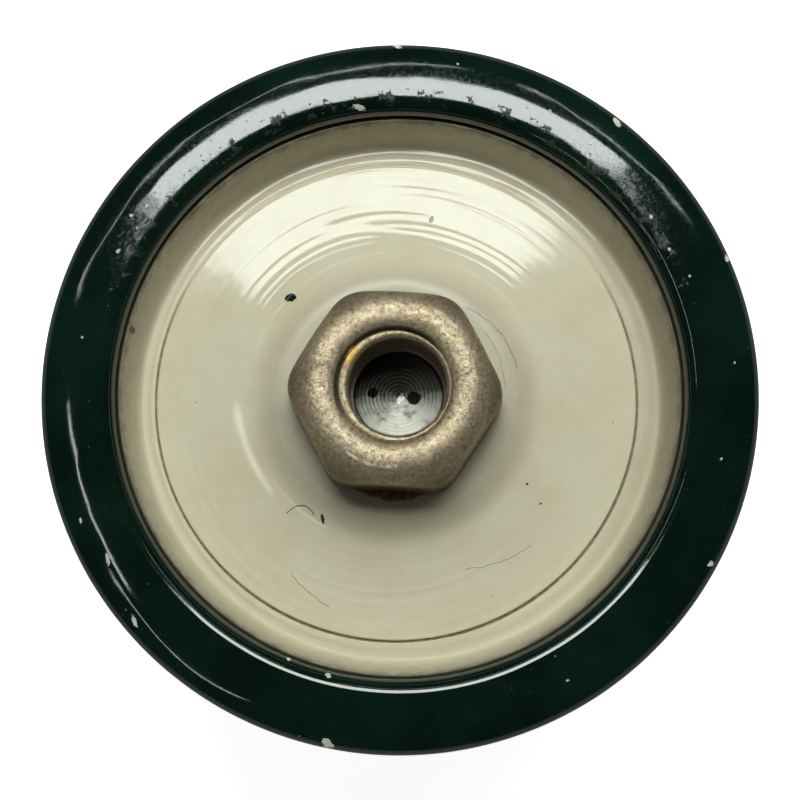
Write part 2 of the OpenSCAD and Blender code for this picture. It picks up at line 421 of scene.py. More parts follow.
    def band(self, value, middle, full, gone):
        """1 where value is less than full away from middle, and 0 where it is more than gone away."""
        return self.ramp(self.maths("ABSOLUTE", self.maths("SUBTRACT", value, middle)), full, gone, 1.0, 0.0)

    def stain(self, tone, mask, strength, stain_colour):
        """tone, turned to another colour where the mask is 1, as far as strength."""
        return self.mix(self.maths("MULTIPLY", mask, strength), tone, stain_colour)

    def spot(self, x, y, radius, stretch=1.0, turn=0.0, ragged=0.35):
        """1 inside a ragged spot at (x, y), seen from above. stretch makes it longer along its turn."""
        flat = self.mapped(centre=(x, y, 0.0), scale=(stretch, 1.0, 0.0), turn=turn)
        edge = self.noise(radius * 0.9, detail=3.0)
        wobble = self.maths("MULTIPLY_ADD", edge, 2.0 * ragged * radius, -ragged * radius)
        reach = self.maths("ADD", self.size_of(flat), wobble)
        return self.ramp(reach, radius * 0.88, radius, 1.0, 0.0)

    def hair(self, x, y, radius, start, end, width):
        """1 on a thin arc round (x, y), seen from above: its radius, its two angles in degrees
        anticlockwise from +X, between -180 and 180, and its width."""
        flat = self.mapped(centre=(x, y, 0.0), scale=(1.0, 1.0, 0.0))
        wobble = self.maths("MULTIPLY_ADD", self.noise(1.5 * MM, detail=2.0), 0.5 * MM, -0.25 * MM)
        thin = self.band(self.maths("ADD", self.size_of(flat), wobble), radius, width * 0.25, width * 0.5)
        turn = self.maths("ARCTAN2", self.along(1, flat), self.along(0, flat))
        beyond = self.maths("GREATER_THAN", turn, math.radians(start))
        before = self.maths("LESS_THAN", turn, math.radians(end))
        return self.maths("MULTIPLY", thin, self.maths("MULTIPLY", beyond, before))

    def any_of(self, masks):
        """The largest of several masks."""
        total = masks[0]
        for mask in masks[1:]:
            total = self.maths("MAXIMUM", total, mask)
        return total

    def bump(self, height, distance, strength=1.0, normal=None):
        """A normal that makes height, from 0 to 1, stand distance metres high."""
        node = self.tree.nodes.new("ShaderNodeBump")
        node.inputs["Strength"].default_value = strength
        node.inputs["Distance"].default_value = distance
        self.feed(node.inputs["Height"], height)
        if normal is not None:
            self.feed(node.inputs["Normal"], normal)
        return node.outputs[0]


# Chips and specks on the rim: (angle in degrees from +X, radius, spot radius, stretch)
RIM_CHIPS = (
    (-101.5, 31.1, 0.34, 1.8), (-29.1, 30.9, 0.22, 1.6), (51.5, 30.9, 0.26, 2.0), (90.3, 31.2, 0.20, 2.2),
    (97.9, 25.7, 0.22, 2.4), (-103.9, 25.4, 0.20, 1.6), (-112.4, 25.1, 0.16, 1.3), (143.2, 27.8, 0.14, 1.5),
    (146.2, 28.4, 0.16, 1.2), (147.6, 27.3, 0.12, 1.0), (153.0, 27.7, 0.15, 1.4), (35.0, 27.0, 0.15, 1.2),
    (28.0, 26.8, 0.14, 1.2), (21.8, 27.4, 0.12, 1.0), (22.5, 31.2, 0.20, 1.5), (-139.0, 30.4, 0.20, 2.6),
    (-158.0, 29.9, 0.12, 2.0), (-12.0, 28.6, 0.10, 1.4), (5.0, 29.4, 0.10, 1.0), (-60.0, 29.0, 0.10, 1.6),
    (170.0, 28.2, 0.10, 1.2), (-150.0, 29.2, 0.16, 3.4), (62.0, 28.4, 0.12, 1.2), (80.0, 29.9, 0.10, 1.3),
)


def polar(degrees, radius_mm):
    """(x, y) in metres of a place given by its angle and its radius in millimetres."""
    return radius_mm * MM * math.cos(math.radians(degrees)), radius_mm * MM * math.sin(math.radians(degrees))


def green_glaze(finish):
    """Bottle green glaze: thick and thin patches, dust, pinholes, orange peel, a fine craze, flaked places
    round the inner side of the rim's face, and chips down to the body."""
    s = Shader("bottle_green_glaze", ior=1.68)
    depth = s.noise(9 * MM, detail=3.0)
    tone = s.mix(s.ramp(depth, 0.35, 0.65), finish.green_deep, finish.green)
    dust = s.ramp(s.noise(0.35 * MM, detail=5.0, roughness=0.75), 0.62, 0.80)
    tone = s.stain(tone, dust, 0.06, (0.25, 0.27, 0.24))
    chips = []
    for degrees, radius, size, stretch in RIM_CHIPS:
        x, y = polar(degrees, radius)
        chips.append(s.spot(x, y, size * MM, stretch=stretch, turn=math.radians(degrees + 70.0), ragged=1.1))
    above = s.ramp(s.along(2), BELL_HIGH[2] - 3.0 * MM, BELL_HIGH[2] - 2.4 * MM)
    chipped = s.maths("MULTIPLY", s.any_of(chips), above)
    specks = s.maths("MULTIPLY", s.speckle(2.2 * MM, 0.035, 0.30), above)
    tone = s.mix(s.maths("MAXIMUM", chipped, s.maths("MULTIPLY", specks, 0.5)), tone, finish.body)
    small_spots = s.speckle(0.8 * MM, 0.13, 0.30)
    peel = s.noise(2.4 * MM, detail=1.0)
    fine = s.noise(0.22 * MM, detail=4.0, roughness=0.7)
    relief = s.bump(peel, 0.012 * MM)
    relief = s.bump(fine, 0.0015 * MM, normal=relief)
    far_side = s.ramp(s.along(1), 8 * MM, 14 * MM)
    inner_band = s.band(s.from_axis(0.0), 26.3 * MM, 0.5 * MM, 0.9 * MM)
    flaked = s.ramp(s.noise(2.0 * MM, detail=7.0, roughness=0.75), 0.55, 0.58)
    flaked = s.maths("MULTIPLY", s.maths("MULTIPLY", flaked, inner_band), far_side)
    relief = s.bump(flaked, 0.02 * MM, normal=relief)
    relief = s.bump(s.maths("SUBTRACT", 1.0, small_spots), 0.02 * MM, normal=relief)
    relief = s.bump(s.maths("SUBTRACT", 1.0, chipped), 0.10 * MM, normal=relief)
    s.set(Base_Color=tone, Normal=relief)
    crazed = s.ramp(s.noise(0.3 * MM, detail=6.0, roughness=0.8), 0.44, 0.60)
    crazed = s.maths("MULTIPLY", crazed, s.maths("MULTIPLY_ADD", far_side, 0.07, 0.015))
    worn = s.maths("MULTIPLY_ADD", flaked, 0.45, crazed)
    s.set(Roughness=s.maths("ADD", worn, s.maths("MULTIPLY_ADD", dust, 0.12, 0.05)))
    return s.material


def cream_glaze(name, finish, base, axis_x, darkening, marks=(), hairs=(), dull=0.0, dull_within=0.0,
                shade_towards_x=0.0):
    """Cream glaze: mottled, finely speckled, and darker where darkening, a list of (radius where it starts,
    radius where it is full, strength), says: painted shade in corners and round the hub, together with
    soiling.
    marks are spots, hairs are thin arcs. dull is added to the roughness, only within the radius dull_within
    if there is one, and less and less towards +Y if not. The last argument is how far painted shade darkens
    the glaze towards +X."""
    s = Shader(name, ior=1.5)
    patches = s.noise(7 * MM, detail=5.0, roughness=0.65)
    tone = s.mix(s.ramp(patches, 0.35, 0.7), base, [c * f for c, f in zip(base, (0.93, 0.92, 0.88))])
    radius = s.from_axis(axis_x)
    cloud = s.noise(1.1 * MM, detail=4.0)
    # Each band is painted shade together with soiling: the glaze darkens towards where the band is full.
    for start, full, strength in darkening:
        reach = s.maths("MULTIPLY_ADD", cloud, 0.8 * MM, radius)
        share = s.ramp(reach, start + 0.4 * MM, full + 0.4 * MM) if full > start else s.ramp(
            reach, full + 0.4 * MM, start + 0.4 * MM, 1.0, 0.0)
        tone = s.stain(tone, share, strength, finish.grime_and_shade)
    # Painted shade: the glaze darkens towards +X.
    tone = s.mix(s.ramp(s.along(0), 12 * MM, 26 * MM, 0.0, shade_towards_x), tone, finish.grime_and_shade)
    specks = s.maths("MAXIMUM", s.speckle(2.6 * MM, 0.035, 0.30), s.speckle(1.1 * MM, 0.04, 0.08))
    tone = s.stain(tone, specks, 0.7, finish.grime_and_shade)
    for x, y, size, stretch, turn, mark_colour in marks:
        mark = s.spot(x * MM, y * MM, size * MM, stretch=stretch, turn=math.radians(turn), ragged=0.5)
        tone = s.mix(mark, tone, mark_colour)
    for x, y, arc_radius, start, end, width, strength in hairs:
        hair = s.hair(x * MM, y * MM, arc_radius * MM, start, end, width * MM)
        tone = s.stain(tone, hair, strength, (0.03, 0.028, 0.022))
    peel = s.noise(3.0 * MM, detail=1.0)
    fine = s.noise(0.3 * MM, detail=4.0, roughness=0.7)
    relief = s.bump(peel, 0.010 * MM)
    relief = s.bump(fine, 0.0015 * MM, normal=relief)
    s.set(Base_Color=tone, Normal=relief)
    gloss = s.maths("MULTIPLY_ADD", cloud, 0.08, 0.04)
    if dull_within:
        dulled = s.ramp(radius, dull_within - 0.8 * MM, dull_within, dull, 0.0)
    else:
        dulled = s.ramp(s.along(1), 4 * MM, 15 * MM, dull, dull * 0.15)
    s.set(Roughness=s.maths("ADD", gloss, dulled))
    return s.material


def worn_nickel(finish):
    """Aged nickel plate: worn to gold in patches, freckled, darker out at the edges as painted shade, darker
    low down as painted shade with soiling, a dark line of painted shade and soiling in the groove, two
    painted highlight arcs, one bare yellow spot and a dull socket."""
    s = Shader("worn_nickel_plate")
    radius = s.from_axis(CORE_AXIS)
    head, face = WASHER_HIGH[2], BUSH_HIGH[2]
    gold = s.ramp(s.noise(1.6 * MM, detail=7.0, roughness=0.72, distortion=0.6), 0.46, 0.66)
    tone = s.stain(finish.nickel, gold, 0.6, finish.brass)
    freckles = s.ramp(s.noise(0.34 * MM, detail=8.0, roughness=0.8), 0.42, 0.64)
    tone = s.stain(tone, freckles, 0.72, (0.19, 0.135, 0.08))
    patches = s.ramp(s.noise(1.9 * MM, detail=8.0, roughness=0.75, distortion=0.8), 0.50, 0.68)
    tone = s.stain(tone, patches, 0.6, (0.19, 0.14, 0.085))
    # Painted shade: darker out towards the head's corners and flanks.
    tone = s.stain(tone, s.ramp(radius, 7.4 * MM, 9.0 * MM), 0.62, (0.17, 0.13, 0.085))
    # Painted shade and soiling: a dark line in the groove, strongest towards +Y and -X.
    towards_left_back = s.maths("SUBTRACT", s.along(1), s.maths("MULTIPLY", s.along(0), 0.7))
    shade_and_dirt = s.ramp(towards_left_back, -1.0 * MM, 3.5 * MM, 0.15, 1.0)
    groove = s.maths("MULTIPLY", s.band(radius, 5.05 * MM, 0.10 * MM, 0.35 * MM), shade_and_dirt)
    tone = s.stain(tone, groove, 0.9, (0.06, 0.05, 0.03))
    # Painted shade and soiling: darker low on the head, towards the hub.
    foot = s.maths("MULTIPLY_ADD", s.noise(1.0 * MM, detail=5.0), 2.4 * MM, s.along(2))
    grime_and_shade = s.ramp(foot, head + 3.4 * MM, head + 8.0 * MM, 1.0, 0.0)
    tone = s.stain(tone, grime_and_shade, 0.88, (0.07, 0.045, 0.025))
    bare = s.spot(CORE_AXIS - 3.6 * MM, 2.8 * MM, 0.50 * MM, stretch=1.9, turn=math.radians(52.0), ragged=0.6)
    tone = s.stain(tone, bare, 0.8, (0.72, 0.45, 0.10))
    socket = s.maths("MULTIPLY", s.ramp(s.from_axis(PLUG_AXIS), 4.30 * MM, 4.38 * MM, 1.0, 0.0),
                     s.ramp(s.along(2), face - 0.95 * MM, face - 0.8 * MM, 1.0, 0.0))
    tone = s.mix(socket, tone, (0.34, 0.29, 0.23))
    # Painted highlights: two bright arcs on the face, made less metallic so that they stay bright.
    arcs = s.any_of([s.hair(CORE_AXIS, 0.0, 7.05 * MM, -126, -88, 0.34 * MM),
                     s.hair(CORE_AXIS, 0.0, 7.45 * MM, 38, 62, 0.40 * MM)])
    painted_highlight = s.maths("MULTIPLY", arcs, s.ramp(s.noise(0.7 * MM, detail=5.0), 0.38, 0.56))
    tone = s.stain(tone, painted_highlight, 0.7, (0.95, 0.84, 0.58))
    relief = s.bump(s.noise(0.8 * MM, detail=6.0, roughness=0.7), 0.10 * MM)
    relief = s.bump(s.noise(0.16 * MM, detail=4.0, roughness=0.8), 0.024 * MM, normal=relief)
    s.set(Base_Color=tone, Normal=relief)
    s.set(Metallic=s.maths("MULTIPLY_ADD", s.maths("MAXIMUM", socket, painted_highlight), -0.6, 0.72))
    s.set(Roughness=s.maths("MULTIPLY_ADD", freckles, 0.20, 0.30))
    return s.material


def turned_aluminium(finish):
    """Turned aluminium with dull blotches, two dark spots, a painted glint, and painted shadow on the +Y
    side.
    """
    s = Shader("turned_aluminium", metallic=1.0)
    blotch = s.ramp(s.noise(1.3 * MM, detail=5.0), 0.5, 0.75)
    # Two almost black spots on the dish.
    small_spots = s.any_of([s.spot(PLUG_AXIS - 2.3 * MM, 0.35 * MM, 0.50 * MM),
                     s.spot(PLUG_AXIS + 1.3 * MM, -0.1 * MM, 0.62 * MM)])
    # Painted shadow: the dish darkens towards +Y, where the socket's wall shades it.
    ragged = s.maths("MULTIPLY_ADD", s.noise(1.2 * MM, detail=5.0), 2.6 * MM, s.along(1))
    socket_shadow = s.ramp(ragged, 0.7 * MM, 1.9 * MM)
    tone = s.stain(finish.aluminium, blotch, 0.6, (0.06, 0.06, 0.057))
    tone = s.stain(tone, socket_shadow, 0.92, (0.035, 0.032, 0.028))
    # Painted highlight: a bright glint near the dish's middle.
    glint = s.spot(PLUG_AXIS + 0.15 * MM, -0.2 * MM, 0.30 * MM, stretch=1.6, turn=1.2, ragged=0.8)
    tone = s.stain(tone, glint, 0.5, (0.60, 0.60, 0.56))
    tone = s.mix(small_spots, tone, (0.006, 0.006, 0.006))
    s.set(Base_Color=tone, Normal=s.bump(s.noise(0.12 * MM, detail=3.0), 0.006 * MM))
    s.set(Roughness=s.maths("MULTIPLY_ADD", blotch, 0.2, 0.34))
    return s.material


def dull_compound(name, tone, lighter, pale=None, pale_from=0.0):
    """Bitumen, cement, fibre or cork: dull, grainy and mottled. It turns to the colour pale beyond
    pale_from along +Y, if a colour is given."""
    s = Shader(name, roughness=0.8)
    grain = s.noise(0.5 * MM, detail=6.0, roughness=0.75)
    patches = s.noise(3.0 * MM, detail=3.0)
    shade = s.mix(s.ramp(grain, 0.4, 0.7), tone, lighter)
    shade = s.stain(shade, patches, 0.3, [c * 0.6 for c in tone])
    # A pale colour, where given, paints the window's glare washing over the joint towards +Y, together with
    # pale filling in it.
    if pale:
        shade = s.mix(s.ramp(s.along(1), pale_from, pale_from + 8 * MM, 0.0, 0.9), shade, pale)
    s.set(Base_Color=shade, Normal=s.bump(grain, 0.05 * MM))
    return s.material


def dull_zinc():
    """Galvanised steel with a faint spangle."""
    s = Shader("galvanised_steel", metallic=1.0, roughness=0.5)
    spangle = s.noise(1.8 * MM, detail=2.0, distortion=1.5)
    s.set(Base_Color=s.mix(spangle, (0.36, 0.37, 0.38), (0.55, 0.56, 0.57)))
    s.set(Normal=s.bump(s.noise(0.3 * MM, detail=4.0), 0.01 * MM))
    return s.material


# Outlines of the pieces

def bell_outline(form):
    """From the crown's centre over head, neck and skirt to the rim, then down inside to the pin hole."""
    rim, top, mouth = BELL_HIGH[0], BELL_HIGH[2], RIM_SEAL_HIGH[0]
    head, neck = form.head_radius, form.neck_radius
    face, corner, roll = form.face_radius, form.corner_radius, form.inner_radius
    crest = mouth + roll
    corner_r = rim - corner
    lean = math.asin((corner_r - crest) / (face - corner))
    corner_z = top - face + (face - corner) * math.cos(lean)
    flare = form.flare
    wall_top = np.array([corner_r + corner * math.cos(flare), corner_z - corner * math.sin(flare)])
    wall_lead = wall_top - 11 * MM * np.array([math.sin(flare), math.cos(flare)])
    lean_degrees, flare_degrees = math.degrees(lean), math.degrees(flare)
    cavity, pin_hole = CEMENT_HIGH[2] + 0.4 * MM, CEMENT_HIGH[0]
    return outline(
        line((0.0, 0.0), (head - 5.5 * MM, 0.0), 14),
        curve((head - 5.5 * MM, 0.0), (head - 1.5 * MM, 0.0), (head, 2 * MM), (head, 5.5 * MM), 22),
        curve((head, 5.5 * MM), (head, 8.5 * MM), (neck, 8.3 * MM), (neck, 12.5 * MM), 18),
        curve((neck, 12.5 * MM), (neck, 16.7 * MM), (head - 0.5 * MM, 17 * MM),
              (head + 2.5 * MM, 18 * MM), 16),
        curve((head + 2.5 * MM, 18 * MM), (head + 7.5 * MM, 19.7 * MM), wall_lead, wall_top, 26),
        arc((corner_r, corner_z), corner, -flare_degrees, 90 - lean_degrees, 14),
        arc((crest, top - face), face, 90 - lean_degrees, 90, 34),
        arc((crest, top - roll), roll, 90, 180, 20),
        line((mouth, top - roll), (mouth, CORE_LOW[2]), 6),
        line((mouth, CORE_LOW[2]), (mouth - 4 * MM, cavity), 3),
        line((mouth - 4 * MM, cavity), (pin_hole, cavity), 3),
        line((pin_hole, cavity), (pin_hole, CUSHION_LOW[2]), 3),
        line((pin_hole, CUSHION_LOW[2]), (0.0, CUSHION_LOW[2]), 3),
    )


def cut_channel(points, form):
    """Lifts the crown into a round channel along Y: each point near it rises to the channel's circle,
    blended over a small radius at the edges."""
    radius, depth = form.channel_radius, form.channel_depth
    across = np.abs(points[..., 0])
    inside = np.sqrt(np.clip(radius ** 2 - across ** 2, 0.0, None))
    roof = depth - radius + np.where(across < radius, inside, 3.0 * (radius - across))
    crown = points[..., 2] < 11 * MM
    lifted = soft_max(points[..., 2], roof, 0.9 * MM)
    points[..., 2] = np.where(crown, lifted, points[..., 2])
    return points


def liner_outline():
    """Ring of the cream inner shell: up its wall, over the lip, down the valley and in to the ledge."""
    wall_r, lip_r, lip_z, seat_z = LINER_HIGH[0] - 0.25 * MM, LINER_HIGH[0], LINER_HIGH[2], RIM_SEAL_LOW[2]
    ledge_r, ledge_z = CORE_SEAL_HIGH[0] - CORE_AXIS, CORE_SEAL_HIGH[2]
    valley_r, valley_z = CORE_HIGH[0] - CORE_AXIS + 1.6 * MM, ledge_z - 0.18 * MM
    ledge_start = ledge_r - CORE_AXIS
    foot_z = CORE_LOW[2] - 0.3 * MM
    return outline(
        line((ledge_r, foot_z), (wall_r, foot_z), 3),
        line((wall_r, foot_z), (wall_r, seat_z), 4),
        line((wall_r, seat_z), (lip_r, seat_z), 3),
        line((lip_r, seat_z), (lip_r, lip_z - 0.15 * MM), 4),
        arc((lip_r - 0.15 * MM, lip_z - 0.15 * MM), 0.15 * MM, 0, 90, 6),
        curve((lip_r - 0.15 * MM, lip_z), (lip_r - 0.9 * MM, lip_z - 1.2 * MM),
              (lip_r - 1.1 * MM, valley_z), (valley_r, valley_z), 48),
        curve((valley_r, valley_z), (valley_r - 0.6 * MM, valley_z),
              (ledge_start + 0.4 * MM, ledge_z - 0.02 * MM), (ledge_start, ledge_z), 24),
        line((ledge_start, ledge_z), (ledge_r, ledge_z), 6),
        line((ledge_r, ledge_z), (ledge_r, foot_z), 5),
    )


def shift_inner_edge(points, ledge_r):
    """Moves the ledge's edge onto the core's axis: full shift at its radius, none from the valley out."""
    radius = np.hypot(points[..., 0], points[..., 1])
    share = np.clip((ledge_r + 0.9 * MM - radius) / (0.9 * MM), 0.0, 1.0)
    points[..., 0] += CORE_AXIS * share
    return points


def core_outline(form):
    """Ring of the flared core: up the edge, in along the flare and the steeper flank to the hub, and down
    the hole."""
    edge_r = CORE_HIGH[0] - CORE_AXIS
    hub_z, foot_z = CORE_HIGH[2], CORE_LOW[2]
    edge_z = hub_z - form.hub_rise
    hub, hole, bevel = form.hub_radius, SHANK_HOLE, 0.2 * MM
    flank_r, flank_z = hub + 3.6 * MM, edge_z + 1.15 * MM
    return outline(
        line((hole, foot_z), (edge_r, foot_z), 3),
        line((edge_r, foot_z), (edge_r, edge_z - bevel), 4),
        arc((edge_r - bevel, edge_z - bevel), bevel, 0, 90, 7),
        curve((edge_r - bevel, edge_z), (edge_r - 3.2 * MM, edge_z + 0.2 * MM),
              (flank_r + 2.2 * MM, flank_z - 0.56 * MM), (flank_r, flank_z), 80),
        curve((flank_r, flank_z), (flank_r - 1.7 * MM, flank_z + 0.45 * MM),
              (hub + 1.6 * MM, hub_z), (hub, hub_z), 60),
        line((hub, hub_z), (hole, hub_z), 5),
        line((hole, hub_z), (hole, foot_z), 4),
    )


def bush_outline(form):
    """From the shank's foot up the shank and the hex head, over the domed face, across the groove and the
    lip, and down the socket."""
    foot, face = BUSH_LOW[2], BUSH_HIGH[2]
    head = WASHER_HIGH[2]
    shank, corner = 7.0 * MM, form.hex_flats / math.sqrt(3.0)
    crest, crease, groove, mouth, bore = 6.35 * MM, 8.3 * MM, 5.0 * MM, 4.42 * MM, form.socket_radius
    floor, plug = face - form.socket_depth, PLUG_HIGH[0] - PLUG_AXIS
    return outline(
        line((0.0, foot), (shank - 0.9 * MM, foot), 4),
        line((shank - 0.9 * MM, foot), (shank, foot + 0.9 * MM), 3),
        line((shank, foot + 0.9 * MM), (shank, head), 40),
        line((shank, head), (corner - 0.9 * MM, head), 4),
        curve((corner - 0.9 * MM, head), (corner - 0.2 * MM, head + 0.05 * MM), (corner, head + 0.3 * MM),
              (corner, head + 0.8 * MM), 8),
        line((corner, head + 0.8 * MM), (corner, face - 3.4 * MM), 8),
        curve((corner, face - 3.4 * MM), (corner - 0.3 * MM, face - 2.4 * MM),
              (crease + 0.6 * MM, face - 1.7 * MM), (crease, face - 0.85 * MM), 26),
        curve((crease, face - 0.85 * MM), (crease - 0.45 * MM, face - 0.35 * MM),
              (crest + 0.8 * MM, face), (crest, face), 30),
        curve((crest, face), (crest - 0.6 * MM, face), (groove + 0.4 * MM, face - 0.18 * MM),
              (groove + 0.10 * MM, face - 0.36 * MM), 22),
        line((groove + 0.10 * MM, face - 0.36 * MM), (groove, face - 0.70 * MM), 4),
        curve((groove, face - 0.70 * MM), (groove - 0.08 * MM, face - 0.40 * MM),
              (mouth + 0.1 * MM, face - 0.42 * MM), (mouth, face - 0.56 * MM), 12),
        line((mouth, face - 0.56 * MM), (bore, face - 0.8 * MM), 5),
        line((bore, face - 0.8 * MM), (bore, floor), 24),
        line((bore, floor), (plug, floor), 3),
        line((plug, floor), (plug, floor - 2 * MM), 3),
        line((plug, floor - 2 * MM), (0.0, floor - 2 * MM), 3),
    )


def hex_limit(phi, flats, turn):
    """Radius of a hexagon's side at angle phi: half the width across flats over the cosine of the angle from
    the nearest flat's middle."""
    from_flat = (phi - turn) % (math.pi / 3.0) - math.pi / 6.0
    return flats / 2.0 / np.cos(from_flat)


def plug_outline():
    """Turned plug: up its side and in over the shallow dish to the axis."""
    edge, top, foot = PLUG_HIGH[0] - PLUG_AXIS, PLUG_HIGH[2], PLUG_LOW[2]
    return outline(
        line((0.0, foot), (edge, foot), 4),
        line((edge, foot), (edge, top - 0.05 * MM), 4),
        line((edge, top - 0.05 * MM), (edge - 0.25 * MM, top), 4),
        line((edge - 0.25 * MM, top), (0.0, top - 0.52 * MM), 150),
    )


def ring_outline(inner, outer, low, high, crown=0.0):
    """A flat ring with a rounded top that stands crown higher in its middle."""
    across = np.linspace(1.0, -1.0, 9)
    top = np.column_stack([(outer + inner) / 2 + across * (outer - inner) / 2, high - crown * across ** 2])
    return outline(
        line((inner, low), (outer, low), 3),
        line((outer, low), (outer, high - crown), 3),
        top,
        line((inner, high - crown), (inner, low), 3),
    )


# Operators

class INSULATOR_OT_bell(bpy.types.Operator):
    """Builds the green glazed bell with its rolled rim, neck and crown channel"""

    bl_idname = "insulator.bell"
    bl_label = "Bell"

    def execute(self, context):
        form, finish = context.scene.insulator_form, context.scene.insulator_finish
        points = bell_outline(form)
        along, turns = run_length(points), 512
        waves = ((0.5, 7.3, 5, 0.8), (0.3, 3.1, 11, 1.2), (0.25, 5.2, 7, 1.5))
        relief = ripples(along, turns, form.glaze_ripple, waves)
        # The head and its channel stay true: the ripples fade in above the tie wire's groove.
        fade = np.clip((points[:, 1] - 14 * MM) / (4 * MM), 0.0, 1.0)[:, None]
        surface = turned(points, turns, -np.abs(relief) * fade)
        surface = cut_channel(surface, form)
        piece = grid_mesh("bell", surface, closed=False)
        place(piece, "insulator", "green_glaze", ["outer_shell"], green_glaze(finish))
        return {"FINISHED"}


class INSULATOR_OT_inner_shell(bpy.types.Operator):
    """Builds the cream inner shell between the rim and the core"""

    bl_idname = "insulator.inner_shell"
    bl_label = "Inner shell"

    def execute(self, context):
        form, finish = context.scene.insulator_form, context.scene.insulator_finish
        points = liner_outline()
        along, turns = run_length(points), 512
        relief = ripples(along, turns, form.glaze_ripple, ((0.5, 2.7, 3, 1.4), (0.3, 1.3, 8, 2.0)))
        surface = turned(points, turns, -np.abs(relief))
        surface = shift_inner_edge(surface, CORE_SEAL_HIGH[0] - CORE_AXIS)
        piece = grid_mesh("cream_inner_shell", surface, closed=True)
        wall = LINER_HIGH[0]
        # Darker towards the wall under the rim: painted shade in the corner, together with soiling.
        shade_and_dirt = [(wall - 1.6 * MM, wall, 0.55), (wall - 0.5 * MM, wall, 0.75)]
        mark = (-23.6, 5.9, 0.22, 1.6, 80, finish.grime_and_shade)
        # Its colour is the shaded copy of the cream, and painted shade darkens it towards +X.
        material = cream_glaze("weathered_shaded_cream_glaze", finish, finish.cream_shaded, 0.0, shade_and_dirt, marks=(mark,),
                               dull=0.34, shade_towards_x=0.26)
        place(piece, "insulator", "cream_glaze", ["inner_shell"], material)
        return {"FINISHED"}


class INSULATOR_OT_core(bpy.types.Operator):
    """Builds the flared cream core with its hub"""

    bl_idname = "insulator.core"
    bl_label = "Core"

    def execute(self, context):
        form, finish = context.scene.insulator_form, context.scene.insulator_finish
        points = core_outline(form)
        along, turns = run_length(points), 512
        waves = ((0.7, 2.3, 2, 1.6), (0.5, 1.4, 3, 2.2), (0.6, 4.1, 1, 1.1))
        relief = ripples(along, turns, form.glaze_ripple, waves)
        radius = points[:, 0]
        # Ripples only on the upper face, fading towards the hub, and calm on the flare's -X side.
        fade = np.clip((radius - 12 * MM) / (5 * MM), 0.0, 1.0) * (points[:, 1] > CORE_LOW[2] + 4 * MM)
        flat_side = np.exp(-(angle_from(200, turn_angles(turns)) / 0.7) ** 4)
        flat_middle = np.clip((19 * MM - radius) / (2 * MM), 0.0, 1.0)
        calm = 1.0 - 0.95 * flat_middle[:, None] * flat_side
        surface = turned(points, turns, -np.abs(relief) * fade[:, None] * calm, axis_x=CORE_AXIS)
        piece = grid_mesh("cream_core", surface, closed=True)
        marks = (
            (-9.7, 9.1, 0.42, 1.4, 10, (0.004, 0.02, 0.014)),
            (-6.8, -10.7, 0.16, 2.8, 100, (0.05, 0.045, 0.03)),
            (2.8, 16.3, 0.20, 1.8, 70, finish.grime_and_shade),
            (11.2, -7.6, 0.12, 1.3, 20, finish.grime_and_shade),
            (12.4, -9.3, 0.10, 1.3, 20, finish.grime_and_shade),
        )
        hairs = (
            (-8.8, -10.8, 1.28, 18, 152, 0.12, 0.9),
            (3.3, 1.3, 7.1, 9, 70, 0.08, 0.75),
            (2.2, 1.2, 7.0, -4, 40, 0.07, 0.6),
            (5.0, -4.0, 11.1, -86, -54, 0.09, 0.6),
            (-2.0, -10.0, 9.3, -145, -117, 0.09, 0.6),
        )
        # Darker in towards the hub: painted shade at the bush's foot, together with soiling.
        material = cream_glaze("cream_glaze", finish, finish.cream, CORE_AXIS,
                               [(form.hub_radius + 3.6 * MM, form.hub_radius, 0.25)], marks, hairs,
                               dull=0.25, dull_within=form.hub_radius + 1.6 * MM)
        place(piece, "insulator", "cream_core", ["core_cone"], material)
        return {"FINISHED"}


class INSULATOR_OT_seals(bpy.types.Operator):
    """Builds the bitumen seals round the core and inside the rim"""

    bl_idname = "insulator.seals"
    bl_label = "Seals"

    def execute(self, context):
        finish = context.scene.insulator_finish
        core_ring = ring_outline(CORE_HIGH[0] - CORE_AXIS, CORE_SEAL_HIGH[0] - CORE_AXIS,
                                 CORE_SEAL_LOW[2], CORE_SEAL_HIGH[2], 0.02 * MM)
        piece = grid_mesh("core_joint_seal", turned(core_ring, 384, axis_x=CORE_AXIS), closed=True)
        # The joint turns cream towards +Y: painted highlight where the window's glare washes over it,
        # together with cream filling.
        material = dull_compound("core_seal_bitumen", (0.22, 0.19, 0.12), (0.46, 0.42, 0.29),
                                 pale=finish.cream, pale_from=6 * MM)
        place(piece, "insulator", "core_bitumen", ["core_seal"], material)
        rim_ring = ring_outline(LINER_HIGH[0], RIM_SEAL_HIGH[0], RIM_SEAL_LOW[2], RIM_SEAL_HIGH[2], 0.02 * MM)
        sag = ripples(run_length(rim_ring), 384, 0.1 * MM, ((0.6, 40, 9, 2.0), (0.4, 60, 23, 2.5)))
        surface = turned(rim_ring, 384)
        surface[..., 2] -= np.abs(sag) * (rim_ring[:, 1:] > RIM_SEAL_LOW[2] + 0.5 * MM)
        piece = grid_mesh("rim_joint_seal", surface, closed=True)
        tone = finish.bitumen
        material = dull_compound("rim_seal_bitumen", tone, [c * 1.6 for c in tone])
        place(piece, "insulator", "bitumen", ["rim_seal"], material)
        return {"FINISHED"}


